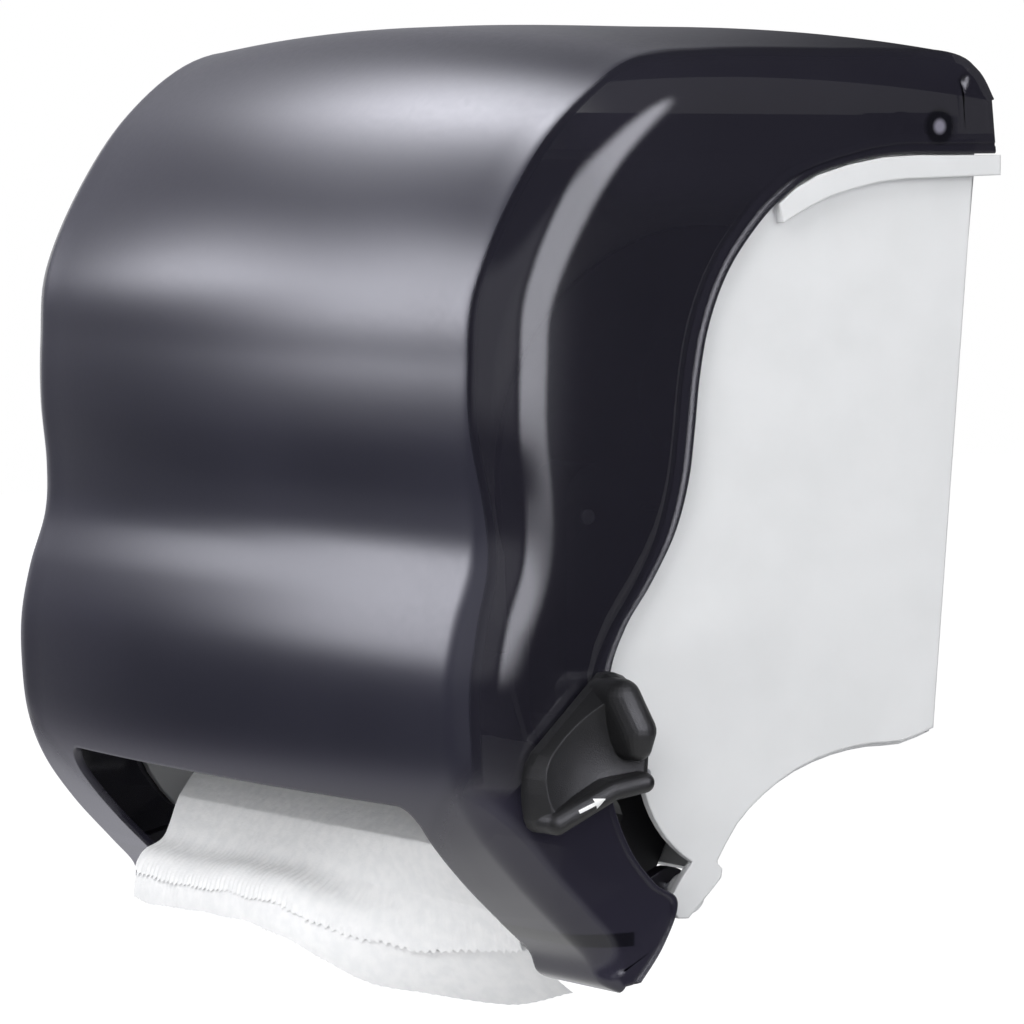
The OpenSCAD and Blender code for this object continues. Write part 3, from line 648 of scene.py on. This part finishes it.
def cover_lugs():
    """The ears inside the legs that turn on the hinge pins, and the webs from them to the front."""
    ear = [(-128, -146), (-148, LEG_TIP_Z + 8), (-163, LEG_TIP_Z + 8), (-175.5, -147), (-150, -141)]
    ear += [(HINGE[0] + HINGE_EAR_R * math.cos(math.radians(a)),
             HINGE[1] + HINGE_EAR_R * math.sin(math.radians(a))) for a in range(120, -91, -15)]
    web = [(-133, -156), (-168.5, -154), (-166.5, -157), (-134, -159)]
    made = []
    for side, word in ((1, "right"), (-1, "left")):
        for name, outline, x0, x1 in (("cover_ear_", ear, 0.141, 0.147), ("cover_web_", web, 0.125, 0.141)):
            lo, hi = sorted((side * x0, side * x1))
            made.append(prism(name + word, [(y * MM, z * MM) for y, z in outline], "x", lo, hi))
    return made


for ear in cover_lugs():
    paint(ear, EAR)
    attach(ear, "cover")


# ---------------------------------------------------------------- roll
def towel_roll():
    """The wound roll, with softly rounded rims and faintly dished ends."""
    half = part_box("paper_roll")[1][0]
    rim = ROLL_R - ROLL_RIM_R
    side = []
    for k in range(9):
        t = k / 8
        side.append((half - ROLL_DISH * math.sin(math.pi * t), ROLL_BORE_R + (rim - ROLL_BORE_R) * t))
    for k in range(1, 7):
        a = math.radians(15 * k)
        side.append((half - ROLL_RIM_R + ROLL_RIM_R * math.cos(a), rim + ROLL_RIM_R * math.sin(a)))
    profile = side + [(-x, r) for x, r in reversed(side)]
    return turned_ring("towel_roll", profile, [v * MM for v in ROLL_AXIS])


roll = towel_roll()
paint(roll, ROLL)
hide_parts("paper_roll")
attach(roll, "roll")


# ---------------------------------------------------------------- towel
# The way past the rollers, as [y, z] in mm: off the roll, round the feed roller, down the chute
WEB_TOP = (-159.4, -7.3)
FEED = (-140.708, -77.003)
WRAP_R = 15.6
WRAP_FROM, WRAP_TO = 27.6, -70.0
TOWEL_OUT = [(-149, -98.5), (-160, -106), (-171, -117.5), (-177.5, -126.0)]
TOWEL_HALF_W = 101.5
TAIL_STEPS = 30
TOOTH_PITCH = 3.0
# Where, across the towel from its left edge, the right edge's shape starts to mix in, and how slowly
MIX_FROM, MIX_OVER = 0.42, 0.66
# Waves in the free end: height in mm, then how fast they come along X and along the length
WAVES = ((1.6, 0.030, 1.1), (0.5, 0.09, 2.0))


def towel_inside():
    """The towel's hidden line: off the roll, round the feed roller and down the chute, as [y, z]."""
    wrap = []
    for k in range(15):
        a = math.radians(WRAP_FROM + (WRAP_TO - WRAP_FROM) * k / 14)
        wrap.append((FEED[0] + WRAP_R * math.cos(a), FEED[1] + WRAP_R * math.sin(a)))
    (y0, z0), (y1, z1) = WEB_TOP, wrap[0]
    web = [(y0 + (y1 - y0) * k / 12, z0 + (z1 - z0) * k / 12) for k in range(12)]
    out = smooth_rows([wrap[-1]] + TOWEL_OUT, 8)
    return web + wrap + out[1:]


# Direction of the towel's free end along its length, in degrees below level, at its two edges
FRONT_LEFT = [(0.0, 62), (0.2, 72), (0.42, 66), (0.58, 24), (0.68, 20), (0.8, 50), (1.0, 80)]
FRONT_RIGHT = [(0.0, 92), (0.2, 134), (0.42, 138), (0.58, 128), (0.68, 120), (0.8, 112), (1.0, 106)]
BACK_LEFT = [(0.0, 62), (0.18, 72), (0.36, 68), (0.48, 30), (0.57, 22), (0.68, 54), (1.0, 92)]
BACK_RIGHT = [(0.0, 92), (0.18, 134), (0.36, 136), (0.48, 126), (0.57, 124), (0.68, 134), (1.0, 146)]


def towel_tail(start, blend, length, left, right):
    """The free end past the tear bar, at one column, which is part left edge and part right edge."""
    y, z = start
    points = []
    for k in range(1, TAIL_STEPS + 1):
        t = k / TAIL_STEPS
        for (t0, a0), (t1, a1), (_, b0), (_, b1) in zip(left, left[1:], right, right[1:]):
            if t0 < t <= t1 + 1e-9:
                f = (t - t0) / (t1 - t0)
                angle = math.radians((1 - blend) * (a0 + (a1 - a0) * f) + blend * (b0 + (b1 - b0) * f))
        y -= length / TAIL_STEPS * math.cos(angle)
        z -= length / TAIL_STEPS * math.sin(angle)
        points.append((y, z))
    return points


def torn(x, seed, bite):
    """How far the torn edge stands back at x: the bar's teeth, bite deep, and ragged fibres."""
    tooth = abs((x / TOOTH_PITCH + 0.5) % 1.0 - 0.5) * 2
    ragged = noise.noise(Vector((x * 0.35, seed, 0))) + 0.6 * noise.noise(Vector((x * 1.4, seed, 3)))
    wave = noise.noise(Vector((x * 0.045, seed, 9)))
    return bite * tooth + 0.5 * bite * ragged + 2.0 * wave


def towel_ply(name, inside, ends, lengths, gap, bite, seed, columns=408):
    """One ply of the towel as a grid, thin as tissue, from its inside line to the torn edge.

    Gives the ply, its longest column and its flat area, in mm."""
    verts, longest, area = [], 0.0, 0.0
    width = 2 * TOWEL_HALF_W / columns
    for c in range(columns + 1):
        x = -TOWEL_HALF_W + width * c
        share = min(max((c / columns - MIX_FROM) / MIX_OVER, 0.0), 1.0)
        blend = share * share * (3 - 2 * share)
        length = lengths[0] + (lengths[1] - lengths[0]) * blend - torn(x, seed, bite)
        tail = towel_tail(inside[-1], blend, length, *ends)
        line = inside + tail
        rows = len(line)
        for r, (y, z) in enumerate(line):
            free = max(0.0, (r - len(inside)) / len(tail))
            shift = gap * free
            for k, (high, across, along) in enumerate(WAVES):
                shift += free * high * noise.noise(Vector((x * across, free * along, seed + 5 * k)))
            verts.append((x * MM, (y + 0.6 * shift) * MM, (z - 0.8 * shift) * MM))
        run = sum(math.dist(a, b) for a, b in zip(line, line[1:]))
        longest = max(longest, run)
        area += run * width * (0.5 if c in (0, columns) else 1.0)
    faces = [(c * rows + r, (c + 1) * rows + r, (c + 1) * rows + r + 1, c * rows + r + 1)
             for c in range(columns) for r in range(rows - 1)]
    return new_object(name, verts, faces, sharp=80), longest, area


INSIDE = towel_inside()
# Name, inside line, edges, lengths at the left and the right, gap, bite, seed, and what it rests on
PLIES = (
    ("towel_front_ply", INSIDE, (FRONT_LEFT, FRONT_RIGHT), (36.0, 43.5), 0.0, 1.5, 1.7,
     ["feed_grips", "paper_chute"]),
    ("towel_back_ply", INSIDE[-10:], (BACK_LEFT, BACK_RIGHT), (43.5, 69.0), 1.0, 0.25, 6.2,
     ["tear_bar"]),
)
for name, inside, ends, lengths, gap, bite, seed, rests in PLIES:
    ply, longest, area = towel_ply(name, inside, ends, lengths, gap, bite, seed)
    paint(ply, PAPER)
    if name == "towel_front_ply":
        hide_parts("towel_sheet")
    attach(ply, "root")


# ---------------------------------------------------------------- springs
def coil(name, node, centre, radius, wire, x0, x1, turns, closed=0.6):
    """A wire spring along X round [y, z], in mm, in a node's place; its end turns are closed ones."""
    steps = round(turns * 28)
    path = []
    for k in range(steps + 1):
        turn = turns * k / steps
        climb = min(max((turn - closed) / (turns - 2 * closed), 0.0), 1.0)
        x = x0 + wire + (x1 - x0 - 2 * wire) * climb
        a = 2 * math.pi * turn
        y, z = centre[0] + radius * math.cos(a), centre[1] + radius * math.sin(a)
        path.append((x * MM, y * MM, z * MM))
    spring = sweep(name, path, wire * MM, 10)
    paint(spring, SPRING)
    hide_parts(node)
    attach(spring, "root")
    return spring


def squash_along_x(spring):
    """Gives the spring a mesh of its own."""
    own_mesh(spring)


def springs():
    """Real coils in place of the plain rings; those that a joint presses get a mesh of their own."""
    lo, hi = (corner[0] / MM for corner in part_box("hub_spring"))
    hub = coil("hub_coil", "hub_spring", ROLL_AXIS, 10.2, 1.1, lo, hi, 7)
    squash_along_x(hub)
    lo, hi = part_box("return_spring")
    middle = 0.5 * (lo[0] + hi[0]) / MM
    coil("return_coil", "return_spring", PIVOT, 10.7, 1.15, middle - RETURN_SPRING_HALF,
         middle + RETURN_SPRING_HALF, 2.05, closed=0.0)
    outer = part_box("latch_springs")[1][0] / MM
    inner = outer - LATCH_SPRING_LONG
    for side, word in ((1, "right"), (-1, "left")):
        ends = sorted((side * inner, side * outer))
        latch = coil("latch_coil_" + word, "latch_springs", LATCH_AXIS, 5.15, 0.35, *ends, 4.0)
        squash_along_x(latch)


springs()


# ---------------------------------------------------------------- arrow on the paddle
def paddle_arrow():
    """A plain white arrow printed on the paddle's lip: rows of points laid on its surface."""
    graph = bpy.context.evaluated_depsgraph_get()
    paddle = BVHTree.FromObject(NODES["lever_paddle"], graph)
    tail, tip = Vector((-187.6, -103.7)), Vector((-177.8, -99.7))
    along = (tip - tail).normalized()
    across = Vector((-along.y, along.x))
    size = (tip - tail).length
    shaft, head, wing = 0.6, 0.62 * size, 1.8
    # Distance from the tail and half width there
    strips = [(0.0, shaft), (0.3 * size, shaft), (head, shaft), (head, wing), (0.8 * size, 1.0),
              (size, 0.05)]
    outside, ink = 0.25, 0.00012
    verts, faces = [], []
    for at, half in strips:
        for step in (-1.0, -0.5, 0.0, 0.5, 1.0):
            p = (tail + along * at + across * half * step) * MM
            hit, normal, _, _ = paddle.ray_cast(Vector((outside, p.x, p.y)), Vector((-1, 0, 0)))
            verts.append(hit + normal * ink)
    for i in range(len(strips) - 1):
        for j in range(4):
            a = i * 5 + j
            faces.append((a, a + 1, a + 6, a + 5))
    return new_object("paddle_arrow", verts, faces)


arrow = paddle_arrow()
paint(arrow, ARROW)
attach(arrow, "lever")


# ---------------------------------------------------------------- studio
DOME_R = 0.8
DOME_DARK = 0.03
# Soft boxes on the dome, in degrees round from the front and up: from, to, from, to, softness
# round and up, strength
WINDOWS = (
    (-81, -60, 41, 60, 8, 11, 13.0),    # high on the left, for the crown
    (-64, -50, 12, 24, 2, 8, 8.0),      # small, between its neighbours
    (-46, -23, 3, 35, 5, 2, 8.5),       # at the left front, for the bulges
    (-130, -72, -40, 56, 12, 6, 0.5),   # grey wall far left
    (-5, 62, -2, 33, 5, 4, 0.8),        # grey wall behind the camera
    (68, 106, -3, 33, 4, 5, 8.5),       # tall on the right, for the line down the corner
)
FLOOR_Z = -0.45
FLOOR_HALF = 6.0
FLOOR_SEEN, FLOOR_MIRRORED = 0.85, 0.58
FILL_LIGHT = 0.62


def studio_dome():
    """What shiny surfaces mirror: soft boxes and the far floor in a dark studio."""
    bm = bmesh.new()
    bmesh.ops.create_uvsphere(bm, u_segments=64, v_segments=32, radius=DOME_R)
    mesh = bpy.data.meshes.new("studio_dome")
    bm.to_mesh(mesh)
    bm.free()
    dome = bpy.data.objects.new("studio_dome", mesh)
    scene.collection.objects.link(dome)
    dome.location = (0, -0.1, 0)
    for kind in ("camera", "diffuse", "transmission", "volume_scatter", "shadow"):
        setattr(dome, "visible_" + kind, False)
    n = Nodes("studio_dome")
    x, y, z = n.axis(0), n.axis(1), n.axis(2)
    azimuth = n.times(n.math("ARCTAN2", x, n.times(y, -1.0)), 180 / math.pi)
    height = n.times(n.math("ARCSINE", n.math("DIVIDE", z, DOME_R)), 180 / math.pi)

    def between(value, lo, hi, soft):
        return n.times(n.ramp(value, lo - soft, lo + soft), n.ramp(value, hi - soft, hi + soft, 1, 0))

    total = DOME_DARK
    for a0, a1, e0, e1, soft_a, soft_e, strength in WINDOWS:
        box = n.times(between(azimuth, a0, a1, soft_a), between(height, e0, e1, soft_e))
        total = n.plus(n.times(box, strength), total)
    far_floor = n.times(n.ramp(height, -32, -22, 1.0, 0.0), n.ramp(azimuth, -112, -66, 0.1, 0.66))
    total = n.plus(total, far_floor)
    emission = n.add("ShaderNodeEmission")
    emission.inputs["Color"].default_value = (0.97, 0.97, 1.06, 1)
    n.link(total, emission.inputs["Strength"])
    n.link(emission.outputs[0], n.out.inputs["Surface"])
    paint(dome, n.material)


def rays(tree, names):
    """1 for a ray of any of the kinds named, otherwise 0."""
    path = tree.nodes.new("ShaderNodeLightPath")
    total = None
    for name in names:
        if total is None:
            total = path.outputs[name]
            continue
        node = tree.nodes.new("ShaderNodeMath")
        node.operation = "MAXIMUM"
        tree.links.new(total, node.inputs[0])
        tree.links.new(path.outputs[name], node.inputs[1])
        total = node.outputs[0]
    return total


def world_light():
    """White where it is looked at, mirrored or seen through plastic, and a soft fill on the object."""
    world = bpy.data.worlds.new("studio")
    scene.world = world
    world.use_nodes = True
    tree = world.node_tree
    tree.nodes.clear()
    out = tree.nodes.new("ShaderNodeOutputWorld")
    mix = tree.nodes.new("ShaderNodeMixShader")
    pale = rays(tree, ("Is Camera Ray", "Is Glossy Ray", "Is Transmission Ray"))
    tree.links.new(pale, mix.inputs[0])
    for socket, strength, color in ((1, FILL_LIGHT, (0.97, 0.98, 1, 1)), (2, 1.0, (1, 1, 1, 1))):
        light = tree.nodes.new("ShaderNodeBackground")
        light.inputs["Strength"].default_value = strength
        light.inputs["Color"].default_value = color
        tree.links.new(light.outputs[0], mix.inputs[socket])
    tree.links.new(mix.outputs[0], out.inputs["Surface"])


def floor():
    """A plain pale floor that keeps the object's shadow."""
    h = FLOOR_HALF
    verts = [(-h, -h, FLOOR_Z), (h, -h, FLOOR_Z), (h, h, FLOOR_Z), (-h, h, FLOOR_Z)]
    plane = new_object("floor", verts, [(0, 1, 2, 3)], smooth=False)
    n = Nodes("floor")
    emission = n.add("ShaderNodeEmission")
    seen = n.times(rays(n.tree, ("Is Camera Ray", "Is Transmission Ray")), FLOOR_SEEN)
    mirrored = n.times(rays(n.tree, ("Is Glossy Ray",)), FLOOR_MIRRORED)
    n.link(n.plus(seen, mirrored), emission.inputs["Strength"])
    matt = n.add("ShaderNodeBsdfDiffuse")
    matt.inputs["Color"].default_value = (0.3, 0.3, 0.3, 1)
    both = n.add("ShaderNodeAddShader")
    n.link(emission.outputs[0], both.inputs[0])
    n.link(matt.outputs[0], both.inputs[1])
    n.link(both.outputs[0], n.out.inputs["Surface"])
    paint(plane, n.material)


def area_light(name, at, target, size, power):
    """A soft round lamp; what shiny surfaces mirror is on the dome instead."""
    data = bpy.data.lights.new(name, "AREA")
    data.shape = "DISK"
    data.size = size
    data.energy = power
    lamp = bpy.data.objects.new(name, data)
    scene.collection.objects.link(lamp)
    lamp.location = at
    lamp.rotation_euler = (Vector(target) - Vector(at)).to_track_quat("-Z", "Y").to_euler()
    lamp.visible_glossy = False


# The camera that was fitted to the photograph
CAMERA_AT = (1.92548, -1.33077, 0.13882)
CAMERA_AZIMUTH, CAMERA_ELEVATION = math.radians(57.33), math.radians(3.92)
CAMERA_LENS = 222.15


def camera():
    data = bpy.data.cameras.new("camera")
    data.sensor_width = 36.0
    data.lens = CAMERA_LENS
    data.clip_end = 50
    rig = bpy.data.objects.new("camera", data)
    scene.collection.objects.link(rig)
    rig.location = CAMERA_AT
    level = math.cos(CAMERA_ELEVATION)
    forward = Vector((-math.sin(CAMERA_AZIMUTH) * level, math.cos(CAMERA_AZIMUTH) * level,
                      -math.sin(CAMERA_ELEVATION)))
    rig.rotation_euler = forward.to_track_quat("-Z", "Y").to_euler()
    scene.camera = rig


studio_dome()
world_light()
floor()
area_light("key", (0.9, -1.6, 1.5), (0, -0.1, 0), 1.2, 22)
area_light("side", (2.1, 0.5, 0.7), (0.1, -0.1, 0), 1.2, 14)
area_light("bounce", (0.3, -1.3, -0.6), (0, -0.18, -0.14), 1.0, 23)
camera()
scene.view_settings.view_transform = "Standard"
